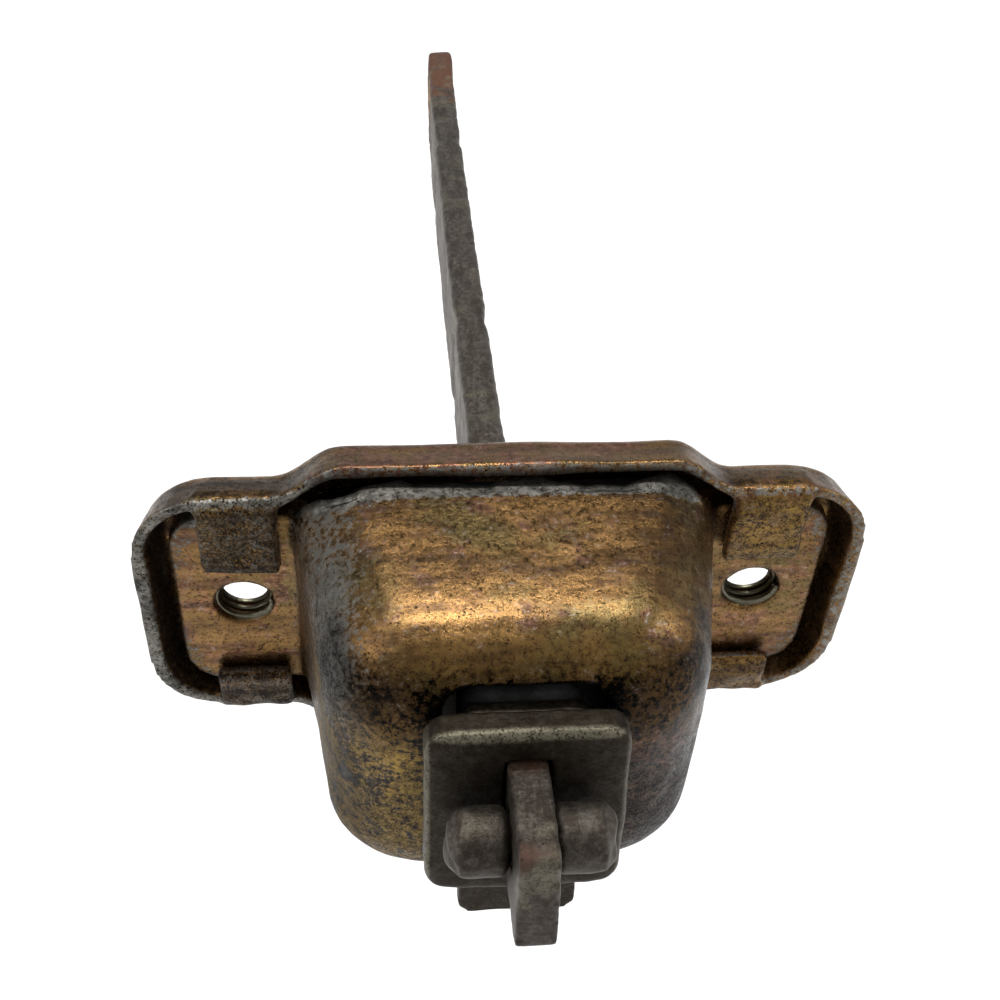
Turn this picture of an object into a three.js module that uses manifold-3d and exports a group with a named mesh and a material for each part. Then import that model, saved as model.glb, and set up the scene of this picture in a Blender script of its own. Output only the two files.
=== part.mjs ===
// Door check with a sliding arm: a drawn steel housing crimped into a rimmed mounting plate, a flat arm that
// slides and swings through it between two sprung rollers, and a stop plate held on the arm by a cross pin.
//
// Millimetres, +Z up. The origin is the middle of the mounting face, midway between the two bolt holes.
// +X points from one bolt hole to the other, and +Y points out of the mounting face, along the arm.

import * as THREE from "three";
import { mergeVertices } from "three/addons/utils/BufferGeometryUtils.js";
import Module from "manifold-3d";

const wasm = await Module();
wasm.setup();

// ---------------------------------------------------------------------------------------------------------
// Driving dimensions
// ---------------------------------------------------------------------------------------------------------

const GAP = 0.3; // between pieces that touch
const OVERRUN = 2; // how far a cutter runs past the faces that it opens

// M6 x 1. The mouth is how far the hole is opened out at the ear's face.
const THREAD = { diameter: 6, pitch: 1, depth: 0.54, clearance: 0.1, mouth: 0.25 };

// The drawn housing: a box with a rounded nose, and two threaded ears. The box is sized from the roller cage
// inside it, with room to swing before the nose, and the ears from the box, a step lower than its top.
const BOX = { wall: 1.8, noseRoom: 5.75, taper: 2.75, slotLand: 4.2, noseRadius: 9, rearCornerRadius: 7.2 };
const EAR = { thickness: 3, step: 5.58, cornerRadius: 5, boltInset: 6, endMargin: 7.2 };

// The rimmed mounting plate that the housing lies in. Its rim leans outwards by the draft. The play is what
// lies between the rim's inside, at the back, and the housing.
const PLATE = {
  sheet: 1.5,
  endPlay: 1.1,
  sidePlay: 1,
  middlePlay: -0.5,
  flatInset: 5, // each end of the tall middle, in from the side of the box
  shoulder: 7,
  cornerRadius: 7.4,
  bendRadius: 2.2,
  depth: 5.9,
  draft: 1.25,
  slotMargin: 2.9,
  boltClearance: 10.8,
};

// Four tabs of the rim, folded over the ears of the housing. The reach is from the mid-plane to the tip.
const TAB = {
  width: 8.2,
  endInset: 7.6,
  thickness: 1.6,
  upperReach: 7,
  lowerReach: 10.5,
  bend: 1.4,
  tipRound: 0.5,
  rootInset: 0.2,
};

const NOSE_SLOT = { sidePlay: 1.7, endPlay: 0.25, cornerRadius: 2.5 };
const SEAL = { thickness: 1.4, play: 2.2, cornerRadius: 5, slotPlay: 1.6, cageClearance: 1.356 };

// The check arm, in its own frame: x across its thickness, y along it, z across its height.
const ARM_TILT = THREE.MathUtils.degToRad(10.6); // rest position, far end down
const SWING_LIMIT = THREE.MathUtils.degToRad(14); // the most that the arm leans either way
const ARM = {
  thickness: 4.5,
  height: 15,
  edgeChamfer: 0.5,
  tip: 175, // from the swing axis to the far tip
  bendStart: 90,
  bendOffset: 1,
  eyeWall: 3.4,
  eyeBore: 9.4,
  eyeInset: 9.5,
};
const DETENT = { depth: 0.4, length: 7, positions: [0, 62, 125] };
const STUB = { thickness: 3.8, topStep: 0.9, bottomStep: 1, length: 11.2, topRadius: 1.2, bottomChamfer: 1.6 };
const STOP_PLATE = { width: 19.2, rim: 3.1, thickness: 3.2, cornerRadius: 2.4, noseGap: 2.2, edge: 0.7 };
const CARRIER_PLATE = { width: 12, rim: 2.1, tongue: 10.5, thickness: 2, cornerRadius: 1.2 };
const BUFFER = { rim: 2.8, cornerRadius: 2, waist: 0.8, edge: 0.5, edgeDepth: 1 };
const CROSS_PIN = {
  headLength: 5.8,
  headDiameter: 6.6,
  neckDiameter: 4.4,
  lift: 0.8,
  chamfer: 1.2,
  innerBevel: 0.5,
  standOff: 0.4,
};
const EYE_BUSH = { bore: 6.4, recess: 0.15 };

// The roller cage, which swings with the arm on two stub trunnions.
const ROLLER = { diameter: 6, overhang: 0.1, bore: 2.9, play: 0.5, chamfer: 0.5 };
const AXLE = { diameter: 2.4, overhang: 0.2 };
const FORK = { lug: 1.4, back: 1, width: 8.8, lugWidth: 5.2, pilotDiameter: 6, pilot: 1.1 };
const SPRING = { wire: 1.2, meanDiameter: 7.8, length: 4.1, stepsPerTurn: 16 };
const CAGE = { sheet: 1.3, halfLength: 6.5, trunnion: 7, trunnionLength: 1.6, windowPlay: 1.5, lightening: 3.6 };
const GUIDE = { thickness: 2.6, wall: 1, sidePlay: 0.9, flange: 0.9, flangeRim: 1.2, flangeLand: 0.6 };
const BUSH = { play: 0.3, outer: 12, thickness: 0.8 };

// ---------------------------------------------------------------------------------------------------------
// Worked-out sizes
// ---------------------------------------------------------------------------------------------------------

const armHalf = ARM.thickness / 2;
const stubHalf = STUB.thickness / 2;
const armTop = ARM.height / 2;

// The cage, outwards from the arm: rollers, forks, springs, side plates, pivot bushes and the housing's sides.
const rollerRadius = ROLLER.diameter / 2;
const rollerLength = ARM.height + 2 * ROLLER.overhang;
const rollerX = armHalf + ROLLER.play + rollerRadius;
const forkBackX = rollerX + rollerRadius + GAP; // inner face of the fork's back plate
const forkEndX = forkBackX + FORK.back;
const springStartX = forkEndX + GAP;
const cageSideX = springStartX + SPRING.length + GAP; // inner face of the cage's side plate
const cageEndX = cageSideX + CAGE.sheet;
const bushEndX = cageEndX + GAP + BUSH.thickness;
const lugZ = rollerLength / 2 + GAP; // inner face of the fork's lugs
const cageInnerZ = lugZ + FORK.lug + GAP;
const cageOuterZ = cageInnerZ + CAGE.sheet;
const cageInnerY = CAGE.halfLength - CAGE.sheet;

// From the mounting face forward to the axis that the arm swings on, so that the cage clears the seal.
const cageReach = CAGE.halfLength * Math.cos(SWING_LIMIT) + cageOuterZ * Math.sin(SWING_LIMIT);
const sealFront = PLATE.sheet + GAP + SEAL.thickness;
const pivotDepth = sealFront + SEAL.cageClearance + cageReach;
const boxDepth = pivotDepth + cageReach + BOX.noseRoom + BOX.wall;

// How tall a space something as tall as this sweeps, from one swing limit to the other, at this distance from
// the swing axis.
function sweep(distance, height) {
  return 2 * distance * Math.tan(SWING_LIMIT) + height / Math.cos(SWING_LIMIT);
}

const bufferHeight = ARM.height + 2 * BUFFER.rim;
const noseSlotHeight = sweep(boxDepth - pivotDepth, bufferHeight) + 2 * NOSE_SLOT.endPlay;
const boxHeight = noseSlotHeight + 2 * BOX.slotLand;
const boxNoseWidth = 2 * (bushEndX + GAP + BOX.wall);
const boxRearWidth = boxNoseWidth + 2 * BOX.taper;
const boltSpacing = boxRearWidth + 2 * EAR.boltInset;
const earLength = boltSpacing + 2 * EAR.endMargin;
const earHeight = boxHeight - 2 * EAR.step;
const earBack = PLATE.sheet + GAP;
const earFront = earBack + EAR.thickness;
const plateLength = earLength + 2 * (PLATE.endPlay + PLATE.sheet);
const plateEarHeight = earHeight + 2 * (PLATE.sidePlay + PLATE.sheet);
const plateMiddleHeight = boxHeight + 2 * (PLATE.middlePlay + PLATE.sheet);
const plateMiddleFlat = boxRearWidth - 2 * PLATE.flatInset;

// At rest the stop plate stands this far in front of the swing axis, just clear of the nose.
const stopBackY = -(boxDepth - pivotDepth + STOP_PLATE.noseGap);
const stopFaceY = stopBackY - STOP_PLATE.thickness;
const shoulderY = stopBackY + GAP;
const springMiddleX = springStartX + SPRING.length / 2;
const springTurns = (SPRING.length - SPRING.wire) / (SPRING.wire + GAP);
const guideX = armHalf + CAGE.windowPlay + GUIDE.wall - GAP;
const guideZ = armTop + GAP + GUIDE.wall;
const carrierFrontY = stopBackY + GAP;
const carrierBackY = carrierFrontY + CARRIER_PLATE.thickness;
const guideFrontY = -(CAGE.halfLength + GUIDE.flange);
const pinY = stopFaceY - CROSS_PIN.headDiameter / 2 - CROSS_PIN.standOff;
const stubTop = armTop - STUB.topStep;
const stubBottom = armTop - STUB.bottomStep;
const eyeRadius = ARM.eyeBore / 2 + ARM.eyeWall;
const eyeY = ARM.tip - ARM.eyeInset;

// ---------------------------------------------------------------------------------------------------------
// Geometry helpers
// ---------------------------------------------------------------------------------------------------------

// A closed three.js geometry as a solid that can be joined and cut.
function solid(geometry) {
  const bare = geometry.index ? geometry.toNonIndexed() : geometry.clone();
  for (const name of Object.keys(bare.attributes)) {
    if (name !== "position") bare.deleteAttribute(name);
  }
  const merged = mergeVertices(bare, 1e-4);
  return new wasm.Manifold(
    new wasm.Mesh({
      numProp: 3,
      vertProperties: new Float32Array(merged.attributes.position.array),
      triVerts: new Uint32Array(merged.index.array),
    }),
  );
}

function join(...solids) {
  return solids.reduce((whole, piece) => whole.add(piece));
}

function cut(body, ...cutters) {
  return cutters.reduce((rest, cutter) => rest.subtract(cutter), body);
}

// A block given by its lowest and highest corners.
function block([x0, y0, z0], [x1, y1, z1]) {
  const box = new THREE.BoxGeometry(x1 - x0, y1 - y0, z1 - z0);
  return solid(box.translate((x0 + x1) / 2, (y0 + y1) / 2, (z0 + z1) / 2));
}

// A cylinder along X between two places, with its centre at y, z.
function rodX(diameter, x0, x1, y = 0, z = 0, sides = 32) {
  const rod = new THREE.CylinderGeometry(diameter / 2, diameter / 2, x1 - x0, sides);
  return solid(rod.rotateZ(-Math.PI / 2).translate((x0 + x1) / 2, y, z));
}

// A cylinder along Y between two depths, with its centre at x, z.
function rodY(diameter, y0, y1, x = 0, z = 0, sides = 32) {
  const rod = new THREE.CylinderGeometry(diameter / 2, diameter / 2, y1 - y0, sides);
  return solid(rod.translate(x, (y0 + y1) / 2, z));
}

// A cylinder along Z between two heights, with its centre at x, y.
function rodZ(diameter, z0, z1, x = 0, y = 0, sides = 32) {
  const rod = new THREE.CylinderGeometry(diameter / 2, diameter / 2, z1 - z0, sides);
  return solid(rod.rotateX(Math.PI / 2).translate(x, y, (z0 + z1) / 2));
}

// The points of a rounded rectangle, anticlockwise, as [across, up] pairs.
function roundedRectangle(width, height, radius, stepsPerCorner = 6) {
  const points = [];
  const corners = [[1, 1], [-1, 1], [-1, -1], [1, -1]];
  corners.forEach(([sx, sz], quarter) => {
    for (let i = 0; i <= stepsPerCorner; i++) {
      const angle = (quarter + i / stepsPerCorner) * (Math.PI / 2);
      const x = sx * (width / 2 - radius) + radius * Math.cos(angle);
      const z = sz * (height / 2 - radius) + radius * Math.sin(angle);
      points.push([x, z]);
    }
  });
  return points;
}

// A plate in the XZ plane with this outline, between two depths.
function plateY(outline, y0, y1) {
  const shape = new THREE.Shape(outline.map(([x, z]) => new THREE.Vector2(x, z)));
  const plate = new THREE.ExtrudeGeometry(shape, { depth: y1 - y0, bevelEnabled: false });
  return solid(plate.rotateX(Math.PI / 2).translate(0, y1, 0));
}

// A plate in the YZ plane with this outline of [y, z] pairs, between two places along X.
function plateX(outline, x0, x1) {
  const shape = new THREE.Shape(outline.map(([y, z]) => new THREE.Vector2(y, z)));
  const plate = new THREE.ExtrudeGeometry(shape, { depth: x1 - x0, bevelEnabled: false });
  return solid(plate.rotateZ(Math.PI / 2).rotateY(Math.PI / 2).translate(x0, 0, 0));
}

// A closed skin over rings of points along the depth: each ring is { y, points: [[x, z], ...] }, and the rings
// run from low y to high y, with the same number of points in each.
function loft(rings) {
  const count = rings[0].points.length;
  const positions = [];
  const index = [];
  for (const ring of rings) {
    for (const [x, z] of ring.points) positions.push(x, ring.y, z);
  }
  for (let r = 0; r + 1 < rings.length; r++) {
    for (let i = 0; i < count; i++) {
      const a = r * count + i;
      const b = r * count + ((i + 1) % count);
      index.push(a, a + count, b, b, a + count, b + count);
    }
  }
  const cap = (ring, flip) => {
    const outline = rings[ring].points.map(([x, z]) => new THREE.Vector2(x, z));
    for (const [a, b, c] of THREE.ShapeUtils.triangulateShape(outline, [])) {
      const base = ring * count;
      index.push(base + a, base + (flip ? c : b), base + (flip ? b : c));
    }
  };
  cap(0, false);
  cap(rings.length - 1, true);
  const geometry = new THREE.BufferGeometry();
  geometry.setAttribute("position", new THREE.Float32BufferAttribute(positions, 3));
  geometry.setIndex(index);
  const made = solid(geometry);
  if (made.volume() > 0) return made;
  for (let i = 0; i < index.length; i += 3) [index[i], index[i + 1]] = [index[i + 1], index[i]];
  geometry.setIndex(index);
  return solid(geometry);
}

// ---------------------------------------------------------------------------------------------------------
// Materials
// ---------------------------------------------------------------------------------------------------------

function finish(colour, roughness, metalness) {
  return new THREE.MeshStandardMaterial({ color: colour, roughness, metalness });
}

const MATERIALS = {
  yellowZinc: finish(0x8a6a32, 0.42, 0.9),
  pinkZinc: finish(0x9c7350, 0.42, 0.9),
  bareSteel: finish(0x6b655c, 0.55, 0.85),
  darkSteel: finish(0x4c443c, 0.6, 0.8),
  springSteel: finish(0x55585c, 0.35, 0.95),
  bronze: finish(0x96713a, 0.4, 0.9),
  acetal: finish(0xd8d4c8, 0.5, 0),
  rubber: finish(0x1d1b1a, 0.85, 0),
};

const part = new THREE.Group();
const swing = new THREE.Group(); // the arm's own frame, on its swing axis
swing.position.set(0, -pivotDepth, 0);
swing.rotation.x = -ARM_TILT;
part.add(swing);

function addMesh(name, body, material, group = part) {
  const made = body.getMesh();
  const geometry = new THREE.BufferGeometry();
  geometry.setAttribute("position", new THREE.BufferAttribute(made.vertProperties, 3));
  geometry.setIndex(new THREE.BufferAttribute(made.triVerts, 1));
  const flat = geometry.toNonIndexed();
  flat.computeVertexNormals();
  const mesh = new THREE.Mesh(flat, material);
  mesh.name = name;
  group.add(mesh);
}

// ---------------------------------------------------------------------------------------------------------
// Mounting plate
// ---------------------------------------------------------------------------------------------------------

// Its outline, grown outwards by this much: a taller middle with sloping shoulders, and round-cornered ears.
function plateOutline(grow) {
  const halfLength = plateLength / 2 + grow;
  const earTop = plateEarHeight / 2 + grow;
  const middleTop = plateMiddleHeight / 2 + grow;
  const radius = PLATE.cornerRadius + grow;
  const quarter = [];
  const cornerSteps = 6;
  for (let i = 0; i <= cornerSteps; i++) {
    const angle = (i / cornerSteps) * (Math.PI / 2);
    quarter.push([
      halfLength - radius + radius * Math.cos(angle),
      earTop - radius + radius * Math.sin(angle),
    ]);
  }
  const shoulderSteps = 6;
  for (let i = 0; i <= shoulderSteps; i++) {
    const t = i / shoulderSteps;
    quarter.push([
      plateMiddleFlat / 2 + PLATE.shoulder * (1 - t),
      earTop + (middleTop - earTop) * ((1 - Math.cos(Math.PI * t)) / 2),
    ]);
  }
  const upper = [...quarter, ...quarter.map(([x, z]) => [-x, z]).reverse()];
  return [...upper, ...upper.map(([x, z]) => [-x, -z])];
}

// The tray's outside, or its inside when a wall is taken off: rounded at the back, leaning out to the lip.
function trayShell(wall) {
  const back = -wall;
  const bend = Math.max(PLATE.bendRadius - wall, 0.4);
  const lip = wall ? -(PLATE.depth + OVERRUN) : -PLATE.depth;
  const lean = (y) => PLATE.draft * ((-y - PLATE.bendRadius) / (PLATE.depth - PLATE.bendRadius));
  const rings = [{ y: lip, points: plateOutline(lean(lip) - wall) }];
  const bendSteps = 4;
  for (let i = 0; i <= bendSteps; i++) {
    const angle = (i / bendSteps) * (Math.PI / 2);
    const inset = bend * (1 - Math.cos(angle));
    rings.push({ y: back - bend + bend * Math.sin(angle), points: plateOutline(-wall - inset) });
  }
  return loft(rings);
}

// One folded tab: from inside the rim, round the bend, and down over the face of the ear.
function crimpTab(side, direction, reach) {
  const rimTop = plateEarHeight / 2 + PLATE.draft;
  const rimInside = rimTop - PLATE.sheet;
  const inner = earFront + GAP;
  const outer = inner + TAB.thickness;
  const root = PLATE.bendRadius;
  const bendTop = rimTop - TAB.rootInset;
  const bendStart = rimTop - TAB.bend;
  const radius = outer - PLATE.depth + TAB.bend;
  const outline = [
    [-root, rimInside - TAB.rootInset],
    [-inner + GAP, rimInside],
    [-inner, rimInside - 2 * GAP],
    [-inner, reach],
    [-outer + GAP, reach - GAP],
    [-outer, reach + TAB.tipRound],
  ];
  const bendSteps = 5;
  for (let i = 0; i <= bendSteps; i++) {
    const angle = (i / bendSteps) * (Math.PI / 2);
    outline.push([
      -outer + radius * (1 - Math.cos(angle)),
      bendStart + (bendTop - bendStart) * Math.sin(angle),
    ]);
  }
  outline.push([-root, rimTop - PLATE.draft + TAB.rootInset]);
  const from = side * (earLength / 2 - TAB.endInset) - TAB.width / 2;
  const sided = outline.map(([y, z]) => [y, direction * z]);
  return plateX(direction > 0 ? sided : sided.reverse(), from, from + TAB.width);
}

function mountingPlate() {
  const floorFront = -(PLATE.sheet + OVERRUN);
  const slotWidth = ARM.thickness + 2 * PLATE.slotMargin;
  const slotHeight = sweep(pivotDepth, ARM.height) + 2 * PLATE.slotMargin;
  const slot = plateY(roundedRectangle(slotWidth, slotHeight, PLATE.slotMargin), floorFront, OVERRUN);
  const bolts = [-1, 1].map((side) => rodY(PLATE.boltClearance, floorFront, OVERRUN, (side * boltSpacing) / 2));
  const tabs = [-1, 1].flatMap((side) => [
    crimpTab(side, 1, TAB.upperReach),
    crimpTab(side, -1, TAB.lowerReach),
  ]);
  return join(cut(trayShell(0), trayShell(PLATE.sheet), slot, ...bolts), ...tabs);
}

// ---------------------------------------------------------------------------------------------------------
// Housing
// ---------------------------------------------------------------------------------------------------------

// The box from its open back to its nose, with this much taken off all round.
function boxShell(wall) {
  const noseStart = boxDepth - BOX.noseRadius;
  const width = (depth) => {
    const share = (depth - earFront) / (noseStart - earFront);
    return boxRearWidth + (boxNoseWidth - boxRearWidth) * share;
  };
  const corner = (depth) => {
    const share = Math.min((depth - earBack) / (noseStart - earBack), 1);
    return BOX.rearCornerRadius + (BOX.noseRadius - BOX.rearCornerRadius) * Math.max(share, 0);
  };
  const ring = (depth, inset) => ({
    y: -depth,
    points: roundedRectangle(
      width(Math.min(depth, noseStart)) - 2 * (wall + inset),
      boxHeight - 2 * (wall + inset),
      Math.max(corner(depth) - wall - inset / 2, BOX.wall / 3),
    ),
  });
  const radius = BOX.noseRadius - wall;
  const rings = [];
  const noseSteps = 6;
  for (let i = 0; i <= noseSteps; i++) {
    const angle = (i / noseSteps) * (Math.PI / 2);
    rings.push(ring(boxDepth - wall - radius * (1 - Math.sin(angle)), radius * (1 - Math.cos(angle))));
  }
  rings.reverse();
  rings.push(ring(wall ? earBack - OVERRUN : earBack, 0));
  rings.sort((a, b) => a.y - b.y);
  return loft(rings);
}

// What a tapped hole takes out of an ear: a bore with a groove for each turn of the thread.
function tappedHole(x) {
  const major = THREAD.diameter / 2 + THREAD.clearance;
  const minor = major - THREAD.depth;
  const mouth = major + THREAD.mouth;
  const turns = Math.floor(EAR.thickness / THREAD.pitch);
  const start = OVERRUN + (EAR.thickness - turns * THREAD.pitch) / 2;
  const profile = [[0, 0], [mouth, 0], [mouth, OVERRUN]];
  for (let i = 0; i < turns; i++) {
    const crest = start + i * THREAD.pitch + THREAD.clearance;
    profile.push([minor, crest], [major, crest + THREAD.pitch / 2]);
  }
  const far = EAR.thickness + OVERRUN;
  profile.push([minor, far], [minor, far + OVERRUN], [0, far + OVERRUN]);
  const hole = new THREE.LatheGeometry(profile.map(([r, y]) => new THREE.Vector2(r, y)), 28);
  return solid(hole.translate(x, -(earFront + OVERRUN), 0));
}

function housing() {
  const ears = plateY(roundedRectangle(earLength, earHeight, EAR.cornerRadius), -earFront, -earBack);
  const edgeTrim = [-1, 1].map((side) => {
    const near = (side * earHeight) / 2;
    const far = side * (boxHeight / 2 + OVERRUN);
    const low = Math.min(near, far);
    const high = Math.max(near, far);
    return block([-boxRearWidth, -(earFront - GAP), low], [boxRearWidth, OVERRUN, high]);
  });
  const slotWidth = CARRIER_PLATE.width + 2 * NOSE_SLOT.sidePlay;
  const slotOutline = roundedRectangle(slotWidth, noseSlotHeight, NOSE_SLOT.cornerRadius);
  const slotDepth = boxDepth - BOX.noseRadius;
  return cut(
    join(boxShell(0), ears),
    boxShell(BOX.wall),
    plateY(slotOutline, -(boxDepth + OVERRUN), -slotDepth),
    tappedHole(-boltSpacing / 2),
    tappedHole(boltSpacing / 2),
    ...edgeTrim,
  );
}

// A sealing plate behind the housing's opening, with a slot that the arm passes through.
function sealPlate() {
  const back = sealFront - SEAL.thickness;
  const width = boxRearWidth - 2 * (BOX.wall + SEAL.play);
  const height = boxHeight - 2 * (BOX.wall + SEAL.play);
  const slotWidth = ARM.thickness + 2 * SEAL.slotPlay;
  const slotHeight = sweep(pivotDepth, ARM.height) + SEAL.slotPlay;
  const slotOutline = roundedRectangle(slotWidth, slotHeight, SEAL.slotPlay);
  return cut(
    plateY(roundedRectangle(width, height, SEAL.cornerRadius), -sealFront, -back),
    plateY(slotOutline, -(sealFront + OVERRUN), OVERRUN - back),
  );
}

// The ring in each side of the housing that a trunnion of the cage turns in. Its back lies along the wall.
function pivotBush(side) {
  const from = cageEndX + GAP;
  const to = boxRearWidth / 2;
  const bore = rodX(CAGE.trunnion + 2 * BUSH.play, from - OVERRUN, to + OVERRUN, -pivotDepth);
  const ring = cut(rodX(BUSH.outer, from, to, -pivotDepth), bore).intersect(boxShell(BOX.wall + GAP));
  return side > 0 ? ring : ring.mirror([1, 0, 0]);
}

// ---------------------------------------------------------------------------------------------------------
// Check arm and what is fixed to it
// ---------------------------------------------------------------------------------------------------------

// How far the arm's centre line is bent sideways at this distance from the swing axis.
function armBend(y) {
  const share = Math.max(y - ARM.bendStart, 0) / (ARM.tip - ARM.bendStart);
  return ARM.bendOffset * share ** 2;
}

// How much thinner each face is here: a smooth dip at each detent.
function detentDip(y) {
  const dips = DETENT.positions.map((place) => {
    const t = Math.abs(y - place) / (DETENT.length / 2);
    return t < 1 ? (DETENT.depth * (1 + Math.cos(Math.PI * t))) / 2 : 0;
  });
  return Math.max(...dips);
}

// The arm's upper edge: level along its length, and swelling to a round eye at the far end.
function armHalfHeight(y) {
  const fromEye = y - (ARM.tip - eyeRadius);
  if (fromEye > 0) return Math.sqrt(Math.max(eyeRadius ** 2 - fromEye ** 2, ARM.edgeChamfer));
  const blend = THREE.MathUtils.smoothstep(y, ARM.tip - 3 * eyeRadius, ARM.tip - eyeRadius);
  return armTop + (eyeRadius - armTop) * blend;
}

function armRing(y) {
  const half = armHalf - detentDip(y);
  const top = armHalfHeight(y);
  const edge = Math.min(ARM.edgeChamfer, top * 0.4);
  const centre = armBend(y);
  const quarter = [[half, top - edge], [half - edge, top]];
  const upper = [...quarter, ...quarter.map(([x, z]) => [-x, z]).reverse()];
  const outline = [...upper, ...upper.map(([x, z]) => [-x, -z])];
  return { y, points: outline.map(([x, z]) => [x + centre, z]) };
}

// The places along the arm where its section is set: close together in the detents, the bend and the eye.
function armStations() {
  const stations = [shoulderY];
  const detentSteps = 6;
  for (const place of DETENT.positions) {
    for (let i = 0; i <= detentSteps; i++) {
      stations.push(place + DETENT.length * (i / detentSteps - 0.5));
    }
  }
  const eyeCentre = ARM.tip - eyeRadius;
  const bendSteps = 12;
  for (let i = 0; i <= bendSteps; i++) {
    stations.push(ARM.bendStart + (eyeCentre - ARM.bendStart) * (i / bendSteps));
  }
  const eyeSteps = 7;
  for (let i = 1; i <= eyeSteps; i++) {
    stations.push(eyeCentre + eyeRadius * Math.sin((i / eyeSteps) * (Math.PI / 2)));
  }
  return [...new Set(stations)].sort((a, b) => a - b);
}

// The narrow near end that carries the stop plate and the cross pin.
function armStub() {
  const end = stopFaceY - STUB.length;
  const back = shoulderY + GAP;
  const outline = [[back, -stubBottom], [back, stubTop]];
  const topSteps = 4;
  for (let i = 0; i <= topSteps; i++) {
    const angle = (i / topSteps) * (Math.PI / 2);
    outline.push([
      end + STUB.topRadius * (1 - Math.sin(angle)),
      stubTop - STUB.topRadius * (1 - Math.cos(angle)),
    ]);
  }
  outline.push([end, -stubBottom + STUB.bottomChamfer], [end + STUB.bottomChamfer, -stubBottom]);
  return plateX(outline, -stubHalf, stubHalf);
}

function checkArm() {
  const bend = armBend(eyeY);
  const reach = ARM.thickness + ARM.bendOffset;
  return cut(
    join(loft(armStations().map(armRing)), armStub()),
    rodX(CROSS_PIN.neckDiameter + 2 * GAP, -reach, reach, pinY, CROSS_PIN.lift, 24),
    rodX(ARM.eyeBore, bend - reach, bend + reach, eyeY, 0),
  );
}

// A plain bush in the eye, for the pin of the bracket on the pillar.
function eyeBush() {
  const bend = armBend(eyeY);
  const half = armHalf - EYE_BUSH.recess;
  return cut(
    rodX(ARM.eyeBore - 2 * GAP, bend - half, bend + half, eyeY),
    rodX(EYE_BUSH.bore, bend - half - OVERRUN, bend + half + OVERRUN, eyeY),
  );
}

function stopPlate() {
  const { width, rim, cornerRadius, edge } = STOP_PLATE; // the edge is what the punch rounds off in front
  const height = ARM.height + 2 * rim;
  const hole = [[-1, -1], [1, -1], [1, 1], [-1, 1]].map(([x, z]) => [
    x * (stubHalf + GAP),
    z > 0 ? stubTop + GAP : -(stubBottom + GAP),
  ]);
  const outline = (inset) => roundedRectangle(width - 2 * inset, height - 2 * inset, cornerRadius - inset / 2, 4);
  const rings = [
    { y: stopFaceY, points: outline(edge) },
    { y: stopFaceY + edge / 3, points: outline(edge / 3) },
    { y: stopFaceY + edge, points: outline(0) },
    { y: stopBackY, points: outline(0) },
  ];
  return cut(loft(rings), plateY(hole, stopFaceY - OVERRUN, stopBackY + OVERRUN));
}

// A window round the full section of the arm.
function armWindow(y0, y1, side = GAP) {
  const x = armHalf + side;
  const z = armTop + GAP;
  return block([-x, y0, -z], [x, y1, z]);
}

// The plate between the stop plate and the buffer, with a tongue below.
function bufferCarrier() {
  const { width, rim, tongue, cornerRadius } = CARRIER_PLATE;
  const outline = roundedRectangle(width, ARM.height + rim + tongue, cornerRadius, 3).map(([x, z]) => [
    x,
    z + (rim - tongue) / 2,
  ]);
  const cutFrom = carrierFrontY - OVERRUN;
  return cut(plateY(outline, carrierFrontY, carrierBackY), armWindow(cutFrom, carrierBackY + OVERRUN));
}

function rubberBuffer() {
  const from = carrierBackY + GAP;
  const to = guideFrontY - GAP;
  const outline = (inset) =>
    roundedRectangle(CARRIER_PLATE.width - 2 * inset, bufferHeight - 2 * inset, BUFFER.cornerRadius, 4);
  const waist = (from + to) / 2;
  const rings = [
    { y: from, points: outline(BUFFER.edge) },
    { y: from + BUFFER.edgeDepth, points: outline(0) },
    { y: waist, points: outline(BUFFER.waist) },
    { y: to - BUFFER.edgeDepth, points: outline(0) },
    { y: to, points: outline(BUFFER.edge) },
  ];
  return cut(loft(rings), armWindow(from - OVERRUN, to + OVERRUN));
}

// The cross pin: a neck through the arm, and a hammered head on each side that holds the stop plate on.
function crossPin() {
  const head = CROSS_PIN.headDiameter / 2;
  const neck = CROSS_PIN.neckDiameter / 2;
  const shoulder = stubHalf + GAP;
  const half = shoulder + CROSS_PIN.headLength;
  const side = [
    [neck, shoulder],
    [head - CROSS_PIN.innerBevel, shoulder],
    [head, shoulder + CROSS_PIN.innerBevel],
    [head, half - CROSS_PIN.chamfer],
    [head - CROSS_PIN.chamfer, half],
    [0, half],
  ];
  const points = [...side.map(([r, x]) => [r, -x]).reverse(), ...side];
  const pin = new THREE.LatheGeometry(points.map(([r, x]) => new THREE.Vector2(r, x)), 24);
  return solid(pin.rotateZ(-Math.PI / 2).translate(0, pinY, CROSS_PIN.lift));
}

// ---------------------------------------------------------------------------------------------------------
// Roller cage, which swings with the arm
// ---------------------------------------------------------------------------------------------------------

// The frame: bottom, two ends with windows for the guides, and two sides with trunnions.
function cageFrame() {
  const outerY = CAGE.halfLength;
  const top = cageInnerZ;
  const body = block([-cageEndX, -outerY, -cageOuterZ], [cageEndX, outerY, top - GAP]);
  const hollow = block([-cageSideX, -cageInnerY, -cageInnerZ], [cageSideX, cageInnerY, top + OVERRUN]);
  const windowX = guideX + GAP;
  const windowZ = guideZ + GAP;
  const window = block([-windowX, -outerY - OVERRUN, -windowZ], [windowX, outerY + OVERRUN, top + OVERRUN]);
  const lightening = [-1, 1].map((side) =>
    rodZ(CAGE.lightening, -cageOuterZ - OVERRUN, OVERRUN - cageInnerZ, side * springMiddleX, 0, 20),
  );
  const trunnion = rodX(CAGE.trunnion, cageSideX + GAP, cageEndX + CAGE.trunnionLength);
  return join(cut(body, hollow, window, ...lightening), trunnion, trunnion.mirror([1, 0, 0]));
}

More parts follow.
